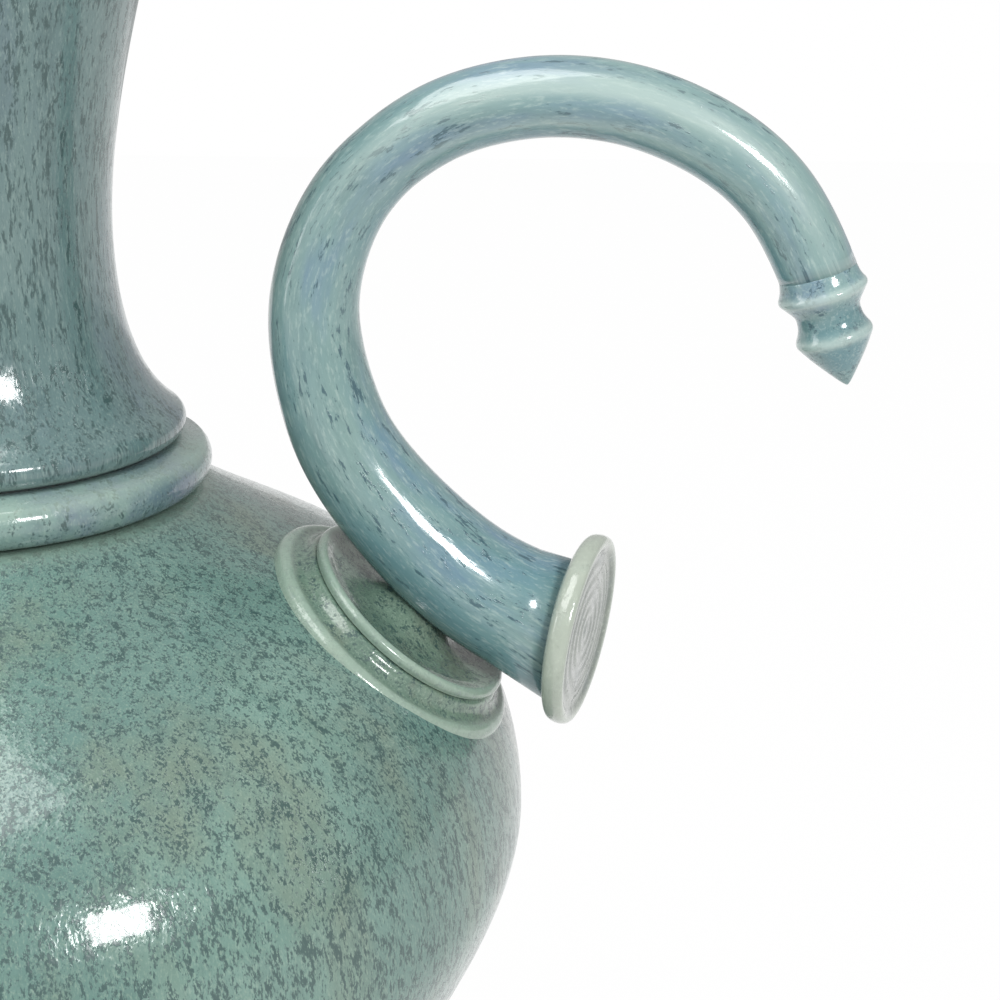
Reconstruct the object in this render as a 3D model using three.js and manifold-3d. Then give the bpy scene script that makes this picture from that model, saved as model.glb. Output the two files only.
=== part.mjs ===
// Studio pottery vase: a thrown jar with a high shoulder, a waisted neck that
// flares to its mouth, and two curled hollow horns, each luted onto a two-tier pad.
//
// Millimetres, +Z up. The origin is the centre of the foot's underside.
// One horn lies towards +X and the other towards -X.

import * as THREE from 'three';
import { mergeVertices } from 'three/addons/utils/BufferGeometryUtils.js';
import Module from 'manifold-3d';

const wasm = await Module();
wasm.setup();

// The line of slip that parts two luted pieces
const SLIP = 0.3;

// Foot ring
const FOOT_RADIUS = 52;
const FOOT_WIDTH = 9;
const FOOT_HEIGHT = 9;
const FOOT_CHAMFER = 1.5;

// Jar
const JAR_TOP = 230;
const JAR_WALL = 6;
const JAR_FLOOR = 8;
const BELLY_RADIUS = 110.8;
const BELLY_HEIGHT = 156.4;
const BELLY_ROUND_BELOW = 30;
const BELLY_ROUND_ABOVE = 46;
const WAIST_RISE_ABOVE_FOOT = 51;
const WAIST_DRAW = 2;
const SHOULDER_RADIUS = 43.5;
const SHOULDER_REACH = 34;
const SHOULDER_SLOPE = 35.5;
const JAR_OPENING_RADIUS = 32;

// Collar ring between the shoulder and the neck
const COLLAR_RADIUS = 44.8;
const COLLAR_HEIGHT = 10;
const COLLAR_TOP_STEP = 4.6;

// Neck
const NECK_HEIGHT = 131;
const NECK_WALL = 4.5;
const BEAD_RADIUS = 39.9;
const BEAD_ROUND = 3.4;
const NECK_WAIST_RADIUS = 27.75;
const NECK_WAIST_HEIGHT = 40;
const MOUTH_RADIUS = 52;
const LIP_ROUND = 2.4;

// Pads on the shoulder: the distance of their centres from the axis, and how far
// their faces lean past the slope of the shoulder
const PAD_DISTANCE = 86.3;
const PAD_LEAN = 4.35;
const PAD_SKIRT = 17;
const PAD_BASE_RADIUS = 30.5;
const PAD_BASE_RIM = -2.3;
const PAD_BASE_TOP = 0.8;
const PAD_BASE_BORE = 19;
const PAD_SEAT_RADIUS = 24.7;
const PAD_SEAT_RIDGE = 3.2;
const PAD_SEAT_DISH = 1.7;
const PAD_SADDLE_RADIUS = 7;
const PAD_SADDLE_HEIGHT = 4.6;

// Horn: its route as [along the pad's slope, height above the pad], from a little
// past its narrow end, over the crown and down to a little past its bell
const HORN_ROUTE = [
  [19.6, 105.4],
  [13.7, 109.2],
  [-2.3, 114.8],
  [-16.8, 114.7],
  [-34.4, 108.9],
  [-49.3, 97.8],
  [-60.2, 81.6],
  [-63.7, 61.0],
  [-56.7, 40.6],
  [-40.8, 25.6],
  [-25.9, 18.9],
  [3, 15.6],
  [24, 19.6],
  [42, 25.8],
];
const HORN_WALL = 3.4;
const HORN_SHAFT_RADIUS = 7.5;
const HORN_BELL_RADIUS = 14.6;
const HORN_SWELL_START = 0.43;
const HORN_SWELL_POWER = 1.1;

// End disc on the bell: the middle of its face on the route's plane, its heading there
// and how far it turns out of that plane
const DISC_CENTRE = [31.1, 23.8];
const DISC_HEADING = 32.4;
const DISC_TURN = 16;
const DISC_RADIUS = 20.4;
const DISC_THICKNESS = 5;
const DISC_LIP = 1.6;
const DISC_DISH = 0.6;

// Finial on the narrow end
const FINIAL_SEAT = [13.7, 109.2];
const FINIAL_HEADING = -31.3;
const FINIAL_LENGTH = 23.1;
const FINIAL_COLLAR_RADIUS = 8.7;
const FINIAL_WAIST_RADIUS = 6.3;
const FINIAL_KNOB_RADIUS = 7.5;

// Fineness of the round forms
const JAR_SIDES = 36;
const NECK_SIDES = 28;
const RING_SIDES = 28;
const PAD_SIDES = 24;
const HORN_SIDES = 12;
const HORN_STEPS = 22;
const DISC_SIDES = 24;
const FINIAL_SIDES = 12;
const CURVE_STEPS = 7;
const ROUND_STEPS = 3;

const radians = THREE.MathUtils.degToRad;

// A point [radius, height] of a turned outline
const point = (radius, height) => new THREE.Vector2(radius, height);

// Points along a round of an outline, from one angle to another in degrees
function roundPoints(centreRadius, centreHeight, round, fromDegrees, toDegrees) {
  const points = [];
  for (let step = 0; step <= ROUND_STEPS; step += 1) {
    const angle = radians(fromDegrees + ((toDegrees - fromDegrees) * step) / ROUND_STEPS);
    points.push(point(centreRadius + round * Math.cos(angle), centreHeight + round * Math.sin(angle)));
  }
  return points;
}

// Points along a curve of an outline, moved square to it: outwards is positive
// for a curve that runs up the outside of a pot
function curvePoints(curve, offset = 0) {
  const points = [];
  for (let step = 0; step <= CURVE_STEPS; step += 1) {
    const along = step / CURVE_STEPS;
    const tangent = curve.getTangent(along);
    const outward = point(tangent.y, -tangent.x).multiplyScalar(offset);
    points.push(curve.getPoint(along).add(outward));
  }
  return points;
}

// A solid of revolution about +Z from an outline that runs up its outside
function turned(outline, sides) {
  const geometry = new THREE.LatheGeometry(outline, sides);
  return geometry.rotateX(Math.PI / 2);
}

// A ring's outline closes on itself
const closed = (outline) => [...outline, outline[0].clone()];

// The closed solid of a geometry, for cutting
function solidOf(geometry) {
  const bare = geometry.clone();
  bare.deleteAttribute('normal');
  bare.deleteAttribute('uv');
  const merged = mergeVertices(bare, 1e-4);
  const corners = merged.index.array;
  const triangles = [];
  for (let first = 0; first < corners.length; first += 3) {
    const [a, b, c] = corners.slice(first, first + 3);
    if (a !== b && b !== c && c !== a) triangles.push(a, b, c);
  }
  const vertProperties = new Float32Array(merged.attributes.position.array);
  const triVerts = new Uint32Array(triangles);
  return new wasm.Manifold(new wasm.Mesh({ numProp: 3, vertProperties, triVerts }));
}

// The geometry of a closed solid
function geometryOf(solid) {
  const mesh = solid.getMesh();
  const geometry = new THREE.BufferGeometry();
  geometry.setAttribute('position', new THREE.BufferAttribute(new Float32Array(mesh.vertProperties), 3));
  geometry.setIndex([...mesh.triVerts]);
  geometry.computeVertexNormals();
  return geometry;
}

function glaze(colour, roughness) {
  return new THREE.MeshStandardMaterial({ color: colour, roughness, metalness: 0 });
}

function piece(name, geometry, material) {
  const mesh = new THREE.Mesh(geometry, material);
  mesh.name = name;
  return mesh;
}

// Foot ring
function footRing() {
  const inner = FOOT_RADIUS - FOOT_WIDTH;
  const outline = [
    point(inner, 0),
    point(FOOT_RADIUS - FOOT_CHAMFER, 0),
    point(FOOT_RADIUS, FOOT_CHAMFER),
    point(FOOT_RADIUS, FOOT_HEIGHT),
    point(inner, FOOT_HEIGHT),
  ];
  return piece('foot_ring', turned(closed(outline), RING_SIDES), glaze(0xa89a84, 0.85));
}

// Jar: the outside is one curve from the foot to the belly and one from there to the shoulder
const jarBottom = FOOT_HEIGHT + SLIP;
const jarLower = new THREE.CubicBezierCurve(
  point(FOOT_RADIUS, jarBottom),
  point(FOOT_RADIUS - WAIST_DRAW, jarBottom + WAIST_RISE_ABOVE_FOOT),
  point(BELLY_RADIUS, BELLY_HEIGHT - BELLY_ROUND_BELOW),
  point(BELLY_RADIUS, BELLY_HEIGHT),
);
const jarUpper = new THREE.CubicBezierCurve(
  point(BELLY_RADIUS, BELLY_HEIGHT),
  point(BELLY_RADIUS, BELLY_HEIGHT + BELLY_ROUND_ABOVE),
  point(
    SHOULDER_RADIUS + SHOULDER_REACH * Math.cos(radians(SHOULDER_SLOPE)),
    JAR_TOP - SHOULDER_REACH * Math.sin(radians(SHOULDER_SLOPE)),
  ),
  point(SHOULDER_RADIUS, JAR_TOP),
);

function jarSide(offset) {
  return [...curvePoints(jarLower, offset), ...curvePoints(jarUpper, offset).slice(1)];
}

function jar() {
  const floor = jarBottom + JAR_FLOOR;
  const inside = jarSide(-JAR_WALL).filter((spot) => spot.y > floor + JAR_WALL);
  const outline = [
    point(0, jarBottom),
    ...jarSide(0),
    point(JAR_OPENING_RADIUS, JAR_TOP),
    point(JAR_OPENING_RADIUS, JAR_TOP - JAR_WALL / 2),
    ...inside.reverse(),
    point(inside.at(-1).x - JAR_WALL / 2, floor),
    point(0, floor),
  ];
  return piece('vase_jar', turned(outline, JAR_SIDES), glaze(0x6f9286, 0.25));
}

// Collar ring: full below, stepping in to the groove under the neck's bead
const collarBottom = JAR_TOP + SLIP;
const collarTop = collarBottom + COLLAR_HEIGHT;

function collarRing() {
  const round = COLLAR_HEIGHT / 2;
  const outline = [
    point(JAR_OPENING_RADIUS, collarBottom),
    ...roundPoints(COLLAR_RADIUS - round, collarBottom + round, round, -75, 40),
    point(COLLAR_RADIUS - COLLAR_TOP_STEP, collarTop - 0.6),
    point(COLLAR_RADIUS - COLLAR_TOP_STEP - 1.2, collarTop),
    point(JAR_OPENING_RADIUS, collarTop),
  ];
  return piece('collar_ring', turned(closed(outline), RING_SIDES), glaze(0x9fb8ac, 0.22));
}

// Neck: a bead at its foot, then one curve in to the waist and one out to the mouth
const neckBottom = collarTop + SLIP;
const neckFlare = MOUTH_RADIUS - LIP_ROUND;

function neck() {
  const waist = neckBottom + NECK_WAIST_HEIGHT;
  const lipHeight = neckBottom + NECK_HEIGHT - LIP_ROUND;
  const bead = roundPoints(BEAD_RADIUS - BEAD_ROUND, neckBottom + BEAD_ROUND, BEAD_ROUND, -80, 50);
  const beadTop = bead.at(-1);
  const lower = new THREE.CubicBezierCurve(
    beadTop,
    point(beadTop.x - 5.7, beadTop.y + 4.7),
    point(NECK_WAIST_RADIUS, waist - NECK_WAIST_HEIGHT / 2),
    point(NECK_WAIST_RADIUS, waist),
  );
  const upper = new THREE.CubicBezierCurve(
    point(NECK_WAIST_RADIUS, waist),
    point(NECK_WAIST_RADIUS, waist + 22),
    point(MOUTH_RADIUS - 16, lipHeight - 40),
    point(neckFlare, lipHeight),
  );
  const innerLower = curvePoints(lower, -NECK_WALL).filter((spot) => spot.y > beadTop.y);
  const outline = [
    point(JAR_OPENING_RADIUS, neckBottom),
    ...bead,
    ...curvePoints(lower).slice(1),
    ...curvePoints(upper).slice(1, -1),
    ...roundPoints(neckFlare, lipHeight, LIP_ROUND, -20, 160),
    ...curvePoints(upper, -NECK_WALL).slice(0, -1).reverse(),
    ...innerLower.slice(0, -1).reverse(),
    point(JAR_OPENING_RADIUS, beadTop.y - BEAD_ROUND),
  ];
  return piece('vase_neck', turned(closed(outline), NECK_SIDES), glaze(0x5e7f80, 0.25));
}

// Where a pad sits: the place on the shoulder at its distance from the axis, and the
// slope there, found by halving the shoulder's curve
function padPlace() {
  let low = 0;
  let high = 1;
  for (let halving = 0; halving < 40; halving += 1) {
    const middle = (low + high) / 2;
    if (jarUpper.getPoint(middle).x > PAD_DISTANCE) low = middle;
    else high = middle;
  }
  const tangent = jarUpper.getTangent(low);
  const slope = Math.atan2(tangent.y, -tangent.x);
  return { centre: jarUpper.getPoint(low), tilt: slope + radians(PAD_LEAN) };
}

const pad = padPlace();

// A pad's frame: +X down the slope, +Z out of the shoulder
function padFrame() {
  const frame = new THREE.Group();
  frame.position.set(pad.centre.x, 0, pad.centre.y);
  frame.rotation.y = pad.tilt;
  frame.updateMatrix();
  return frame;
}

// The jar's outside with the line of slip round it, as a cutter in a pad's frame
function shoulderCutter() {
  const outline = [point(0, jarBottom), ...jarSide(SLIP), point(0, JAR_TOP + SLIP)];
  const geometry = turned(outline, JAR_SIDES);
  return solidOf(geometry.applyMatrix4(padFrame().matrix.clone().invert()));
}

// The horn's route, as a curve in the plane y = 0 of its pad's frame
const hornRoute = new THREE.CatmullRomCurve3(
  HORN_ROUTE.map(([along, height]) => new THREE.Vector3(along, 0, height)),
  false,
  'centripetal',
);

function hornRadius(share) {
  const swell = Math.max(0, (share - HORN_SWELL_START) / (1 - HORN_SWELL_START));
  return HORN_SHAFT_RADIUS + (HORN_BELL_RADIUS - HORN_SHAFT_RADIUS) * swell ** HORN_SWELL_POWER;
}

// A round ring of points square to the horn's route
function hornRing(share, offset) {
  const centre = hornRoute.getPointAt(share);
  const tangent = hornRoute.getTangentAt(share);
  const across = new THREE.Vector3(tangent.z, 0, -tangent.x);
  const sideways = new THREE.Vector3(0, 1, 0);
  const radius = hornRadius(share) + offset;
  const ring = [];
  for (let side = 0; side < HORN_SIDES; side += 1) {
    const angle = (2 * Math.PI * side) / HORN_SIDES;
    const spot = centre.clone();
    spot.addScaledVector(across, radius * Math.cos(angle));
    spot.addScaledVector(sideways, radius * Math.sin(angle));
    ring.push(spot);
  }
  return ring;
}

// A closed sweep along the horn's route, grown or shrunk by an offset
function hornSweep(offset) {
  const positions = [];
  const index = [];
  for (let step = 0; step <= HORN_STEPS; step += 1) {
    for (const spot of hornRing(step / HORN_STEPS, offset)) positions.push(spot.x, spot.y, spot.z);
  }
  for (let step = 0; step < HORN_STEPS; step += 1) {
    for (let side = 0; side < HORN_SIDES; side += 1) {
      const here = step * HORN_SIDES + side;
      const next = step * HORN_SIDES + ((side + 1) % HORN_SIDES);
      index.push(here, next, here + HORN_SIDES, next, next + HORN_SIDES, here + HORN_SIDES);
    }
  }
  const last = HORN_STEPS * HORN_SIDES;
  for (let side = 1; side < HORN_SIDES - 1; side += 1) {
    index.push(0, side + 1, side, last, last + side, last + side + 1);
  }
  const geometry = new THREE.BufferGeometry();
  geometry.setAttribute('position', new THREE.Float32BufferAttribute(positions, 3));
  geometry.setIndex(index);
  return solidOf(geometry);
}

// Turns a piece made about +Z to a heading in the plane of the horn's route, and out of it
function setHeading(object, place, heading, turn = 0) {
  object.position.set(place[0], 0, place[1]);
  object.rotation.set(0, radians(90 - heading), radians(-turn), 'ZYX');
  object.updateMatrix();
  return object;
}

// A wide cutter that removes all beyond a place of the route
function endCutter(place, heading, reach, turn = 0) {
  const wide = 3 * HORN_BELL_RADIUS;
  const outline = [point(0, reach), point(wide, reach), point(wide, wide), point(0, wide)];
  const holder = setHeading(new THREE.Group(), place, heading, turn);
  return solidOf(turned(outline, HORN_SIDES).applyMatrix4(holder.matrix));
}

function hornTube() {
  const bell = endCutter(DISC_CENTRE, DISC_HEADING, -DISC_THICKNESS - SLIP, DISC_TURN);
  const tip = endCutter(FINIAL_SEAT, FINIAL_HEADING, 0);
  return geometryOf(hornSweep(0).subtract(hornSweep(-HORN_WALL)).subtract(bell).subtract(tip));
}

// Lower tier of a pad: a ring whose underside follows the shoulder
function padBase() {
  const outline = [
    point(PAD_BASE_BORE, -PAD_SKIRT),
    point(PAD_BASE_RADIUS - 0.5, -PAD_SKIRT),
    ...roundPoints(PAD_BASE_RADIUS - 2, PAD_BASE_RIM - 2, 2, 0, 80),
    point(PAD_SEAT_RADIUS + 2, PAD_BASE_RIM + 0.3),
    point(PAD_SEAT_RADIUS + 0.5, PAD_BASE_TOP - 0.6),
    point(PAD_SEAT_RADIUS - 0.5, PAD_BASE_TOP),
    point(PAD_BASE_BORE, PAD_BASE_TOP),
  ];
  return geometryOf(solidOf(turned(closed(outline), PAD_SIDES)).subtract(shoulderCutter()));
}

// Upper tier of a pad: a dished disc with a ridge, and a saddle that the horn beds into
function padSeat() {
  const bottom = PAD_BASE_TOP + SLIP;
  const plug = PAD_BASE_BORE - SLIP;
  const outline = [
    point(0, -PAD_SKIRT),
    point(plug, -PAD_SKIRT),
    point(plug, bottom),
    point(PAD_SEAT_RADIUS - 0.4, bottom),
    ...roundPoints(PAD_SEAT_RADIUS - 1.2, PAD_SEAT_RIDGE - 1.2, 1.2, 0, 150),
    point(PAD_SEAT_RADIUS - 5, PAD_SEAT_DISH + 0.3),
    point(PAD_SADDLE_RADIUS + 4, PAD_SEAT_DISH),
    point(PAD_SADDLE_RADIUS, PAD_SADDLE_HEIGHT),
    point(0, PAD_SADDLE_HEIGHT),
  ];
  const blank = solidOf(turned(outline, PAD_SIDES));
  return geometryOf(blank.subtract(shoulderCutter()).subtract(hornSweep(SLIP)));
}

// End disc, made with its face up at height 0
function hornDisc() {
  const outline = [
    point(0, -DISC_THICKNESS),
    point(DISC_RADIUS - DISC_LIP, -DISC_THICKNESS),
    ...roundPoints(DISC_RADIUS - DISC_LIP, -DISC_LIP, DISC_LIP, -40, 110),
    point(DISC_RADIUS - 2.5 * DISC_LIP, -DISC_DISH),
    point(0, -DISC_DISH),
  ];
  return turned(outline, DISC_SIDES);
}

// Finial, made with its seat at height 0
function hornFinial() {
  const outline = [
    point(0, SLIP),
    point(HORN_SHAFT_RADIUS, SLIP),
    point(FINIAL_COLLAR_RADIUS, 0.16 * FINIAL_LENGTH),
    point(FINIAL_COLLAR_RADIUS - 1.1, 0.22 * FINIAL_LENGTH),
    point(FINIAL_WAIST_RADIUS, 0.33 * FINIAL_LENGTH),
    point(FINIAL_WAIST_RADIUS + 0.5, 0.45 * FINIAL_LENGTH),
    point(FINIAL_KNOB_RADIUS, 0.55 * FINIAL_LENGTH),
    point(FINIAL_KNOB_RADIUS - 1.2, 0.64 * FINIAL_LENGTH),
    point(0.42 * FINIAL_KNOB_RADIUS, 0.85 * FINIAL_LENGTH),
    point(0, FINIAL_LENGTH),
  ];
  return turned(outline, FINIAL_SIDES);
}

// One side's pad and horn, shared by both sides
const padBaseShape = padBase();
const padSeatShape = padSeat();
const hornTubeShape = hornTube();

function hornSide(side, turn) {
  const frame = padFrame();
  frame.add(piece(`pad_base_${side}`, padBaseShape, glaze(0x8fa996, 0.3)));
  frame.add(piece(`pad_seat_${side}`, padSeatShape, glaze(0x7e9683, 0.3)));
  frame.add(piece(`horn_tube_${side}`, hornTubeShape, glaze(0x6fa3ab, 0.2)));
  const disc = piece(`horn_disc_${side}`, hornDisc(), glaze(0xa9b8ab, 0.25));
  frame.add(setHeading(disc, DISC_CENTRE, DISC_HEADING, DISC_TURN));
  const finial = piece(`horn_finial_${side}`, hornFinial(), glaze(0x8db4b6, 0.2));
  frame.add(setHeading(finial, FINIAL_SEAT, FINIAL_HEADING));
  const holder = new THREE.Group();
  holder.rotation.z = turn;
  holder.add(frame);
  return holder;
}

const vase = new THREE.Group();
vase.add(footRing(), jar(), collarRing(), neck());
vase.add(hornSide('right', 0), hornSide('left', Math.PI));

export default vase;
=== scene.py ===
"""Dresses the studio pottery vase in its speckled blue-green glaze and lights it."""

import logging
import math
from dataclasses import dataclass, replace
from enum import Enum
from typing import NamedTuple

import bpy
import numpy as np
from mathutils import Matrix, Vector


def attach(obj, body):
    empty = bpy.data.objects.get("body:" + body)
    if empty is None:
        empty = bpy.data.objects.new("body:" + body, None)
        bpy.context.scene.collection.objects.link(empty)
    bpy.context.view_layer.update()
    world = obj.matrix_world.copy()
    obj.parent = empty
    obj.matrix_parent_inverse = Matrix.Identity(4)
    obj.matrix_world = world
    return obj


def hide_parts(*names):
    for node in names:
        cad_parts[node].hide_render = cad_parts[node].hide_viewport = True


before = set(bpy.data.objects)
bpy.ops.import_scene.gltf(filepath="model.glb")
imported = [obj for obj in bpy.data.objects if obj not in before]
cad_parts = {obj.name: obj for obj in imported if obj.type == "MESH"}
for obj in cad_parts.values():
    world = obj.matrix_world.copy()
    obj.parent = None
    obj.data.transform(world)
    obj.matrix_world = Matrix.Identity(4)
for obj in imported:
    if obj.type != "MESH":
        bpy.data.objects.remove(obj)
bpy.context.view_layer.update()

LOG = logging.getLogger("vase")
MM = 0.001

Colour = tuple[float, float, float]
Place = tuple[float, float, float]
Point = tuple[float, float]
Profile = tuple[Point, ...]
Socket = bpy.types.NodeSocket


class Side(Enum):
    """The two sides of the pot that carry a horn, as turns about its axis."""

    RIGHT = 0.0
    LEFT = math.pi


class Layer(NamedTuple):
    """One noise of the glaze's pattern."""

    scale: float
    detail: float
    rough: float


# The noises of the pattern. Each scale is a share of the glaze's own cloud size or fleck size.
CLOUDS = Layer(1.0, 3.0, 0.6)
POOLS = Layer(1.7, 4.0, 0.6)
MOTTLE = Layer(0.11, 5.0, 0.72)
COARSE_GRAIN = Layer(0.33, 2.0, 0.6)
FINE_GRAIN = Layer(1.0, 3.0, 0.7)

# The noise values between which a layer goes from none to all.
CLOUD_SPREAD = (0.36, 0.66)
POOL_SPREAD = (0.48, 0.7)
MOTTLE_SPREAD = (0.44, 0.7)
PALE_SPREAD = (0.5, 0.28)

# How strongly each layer tints the one under it.
POOL_SHARE = 0.6
MOTTLE_SHARE = 0.3
PALE_SHARE = 0.35
FLECK_SHARE = 0.85

# The flecks are where the grain passes a limit, which cover and mottle lower.
COARSE_SHARE = 0.45
FINE_SHARE = 0.55
FLECK_LIMIT = 0.68
COVER_REACH = 0.2
MOTTLE_REACH = 0.05
FLECK_EDGE = 0.06

# Where the glaze thins, the grain breaks up its edge.
THIN_BASE = 0.55
THIN_BREAK = 0.8
THIN_MOST = 0.6

# What the pattern does to the surface.
FLECK_ROUGHNESS = 0.12
GRAIN_HEIGHT = 0.6
FLECK_HEIGHT = 0.3
BUMP_STRENGTH = 0.35
BUMP_DEPTH = 0.0006
GLAZE_IOR = 1.52
COAT_WEIGHT = 0.5
COAT_ROUGHNESS = 0.06

GROUP_NAME = "speckled_glaze"
GROUP_INPUTS = {
    "Flow": "NodeSocketVector",
    "Thinness": "NodeSocketFloat",
    "Ground": "NodeSocketColor",
    "Cloud": "NodeSocketColor",
    "Fleck": "NodeSocketColor",
    "Thin": "NodeSocketColor",
    "Pool": "NodeSocketColor",
    "Cover": "NodeSocketFloat",
    "Cloud Size": "NodeSocketFloat",
    "Fleck Size": "NodeSocketFloat",
    "Gloss": "NodeSocketFloat",
}
GROUP_OUTPUTS = {
    "Colour": "NodeSocketColor",
    "Roughness": "NodeSocketFloat",
    "Height": "NodeSocketFloat",
}


class Pattern:
    """The nodes of the glaze's pattern, and the ways to add to them."""

    def __init__(self, tree: bpy.types.NodeTree) -> None:
        """Starts a pattern in a group whose sockets are made.

        Args:
            tree: The group.
        """
        self.nodes = tree.nodes
        self.links = tree.links
        self.given = self.nodes.new("NodeGroupInput").outputs
        self.result = self.nodes.new("NodeGroupOutput").inputs

    def feed(self, target: Socket, value: Socket | float) -> None:
        """Joins a socket to a value.

        Args:
            target: The socket that takes it.
            value: Another socket, or a number.
        """
        if isinstance(value, Socket):
            self.links.new(value, target)
        else:
            target.default_value = value

    def combine(self, operation: str, first: Socket | float, second: Socket | float) -> Socket:
        """Adds a sum on two values.

        Args:
            operation: Blender's name of the sum.
            first: The first value.
            second: The second value.

        Returns:
            The result.
        """
        node = self.nodes.new("ShaderNodeMath")
        node.operation = operation
        self.feed(node.inputs[0], first)
        self.feed(node.inputs[1], second)
        return node.outputs[0]

    def times(self, first: Socket | float, second: Socket | float) -> Socket:
        """One value times another."""
        return self.combine("MULTIPLY", first, second)

    def plus(self, first: Socket | float, second: Socket | float) -> Socket:
        """One value and another."""
        return self.combine("ADD", first, second)

    def minus(self, first: Socket | float, second: Socket | float) -> Socket:
        """One value less another."""
        return self.combine("SUBTRACT", first, second)

    def least(self, first: Socket | float, second: Socket | float) -> Socket:
        """The lesser of two values."""
        return self.combine("MINIMUM", first, second)

    def noise(self, size: Socket, layer: Layer) -> Socket:
        """Adds a noise that follows the glaze's flow.

        Args:
            size: The glaze's own scale, in features per metre.
            layer: The noise.

        Returns:
            Its value.
        """
        texture = self.nodes.new("ShaderNodeTexNoise")
        self.feed(texture.inputs["Vector"], self.given["Flow"])
        self.feed(texture.inputs["Scale"], self.times(size, layer.scale))
        self.feed(texture.inputs["Detail"], layer.detail)
        self.feed(texture.inputs["Roughness"], layer.rough)
        return texture.outputs["Fac"]

    def spread(self, value: Socket, low: Socket | float, high: Socket | float) -> Socket:
        """Stretches a value softly over 0 to 1, clamped.

        Args:
            value: The value.
            low: What becomes 0.
            high: What becomes 1.

        Returns:
            The stretched value.
        """
        node = self.nodes.new("ShaderNodeMapRange")
        node.interpolation_type = "SMOOTHSTEP"
        self.feed(node.inputs["Value"], value)
        self.feed(node.inputs["From Min"], low)
        self.feed(node.inputs["From Max"], high)
        return node.outputs["Result"]

    def mix(self, amount: Socket, first: Socket, second: Socket) -> Socket:
        """Mixes two colours.

        Args:
            amount: How much of the second.
            first: The first colour.
            second: The second colour.

        Returns:
            The mixed colour.
        """
        node = self.nodes.new("ShaderNodeMix")
        node.data_type = "RGBA"
        self.feed(node.inputs["Factor"], amount)
        self.feed(node.inputs["A"], first)
        self.feed(node.inputs["B"], second)
        return node.outputs["Result"]


def glaze_group() -> bpy.types.NodeTree:
    """Builds, once, the group of nodes that every glaze shares.

    Returns:
        The node group, with the surface's colour, roughness and height.
    """
    if GROUP_NAME in bpy.data.node_groups:
        return bpy.data.node_groups[GROUP_NAME]
    tree = bpy.data.node_groups.new(GROUP_NAME, "ShaderNodeTree")
    for direction, sockets in (("INPUT", GROUP_INPUTS), ("OUTPUT", GROUP_OUTPUTS)):
        for label, kind in sockets.items():
            tree.interface.new_socket(label, in_out=direction, socket_type=kind)
    pattern = Pattern(tree)
    given = pattern.given

    clouds = pattern.spread(pattern.noise(given["Cloud Size"], CLOUDS), *CLOUD_SPREAD)
    pools = pattern.spread(pattern.noise(given["Cloud Size"], POOLS), *POOL_SPREAD)
    mottle = pattern.spread(pattern.noise(given["Fleck Size"], MOTTLE), *MOTTLE_SPREAD)
    coarse = pattern.noise(given["Fleck Size"], COARSE_GRAIN)
    fine = pattern.noise(given["Fleck Size"], FINE_GRAIN)

    grain = pattern.plus(pattern.times(coarse, COARSE_SHARE), pattern.times(fine, FINE_SHARE))
    covered = pattern.minus(FLECK_LIMIT, pattern.times(given["Cover"], COVER_REACH))
    limit = pattern.minus(covered, pattern.times(mottle, MOTTLE_REACH))
    flecks = pattern.spread(grain, limit, pattern.plus(limit, FLECK_EDGE))
    paleness = pattern.spread(fine, *PALE_SPREAD)
    broken = pattern.plus(pattern.times(coarse, THIN_BREAK), THIN_BASE)
    thin = pattern.least(pattern.times(given["Thinness"], broken), THIN_MOST)

    clouded = pattern.mix(clouds, given["Ground"], given["Cloud"])
    pooled = pattern.mix(pattern.times(pools, POOL_SHARE), clouded, given["Pool"])
    mottled = pattern.mix(pattern.times(mottle, MOTTLE_SHARE), pooled, given["Fleck"])
    pale = pattern.mix(pattern.times(paleness, PALE_SHARE), mottled, given["Thin"])
    flecked = pattern.mix(pattern.times(flecks, FLECK_SHARE), pale, given["Fleck"])

    # Where the thinness holds painted highlights, at the collar's foot and the neck's joint, this mix paints
    # them in the thin tint.
    colour = pattern.mix(thin, flecked, given["Thin"])
    roughness = pattern.plus(given["Gloss"], pattern.times(flecks, FLECK_ROUGHNESS))
    height = pattern.minus(pattern.times(coarse, GRAIN_HEIGHT), pattern.times(flecks, FLECK_HEIGHT))
    for label, value in (("Colour", colour), ("Roughness", roughness), ("Height", height)):
        pattern.feed(pattern.result[label], value)
    return tree


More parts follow.
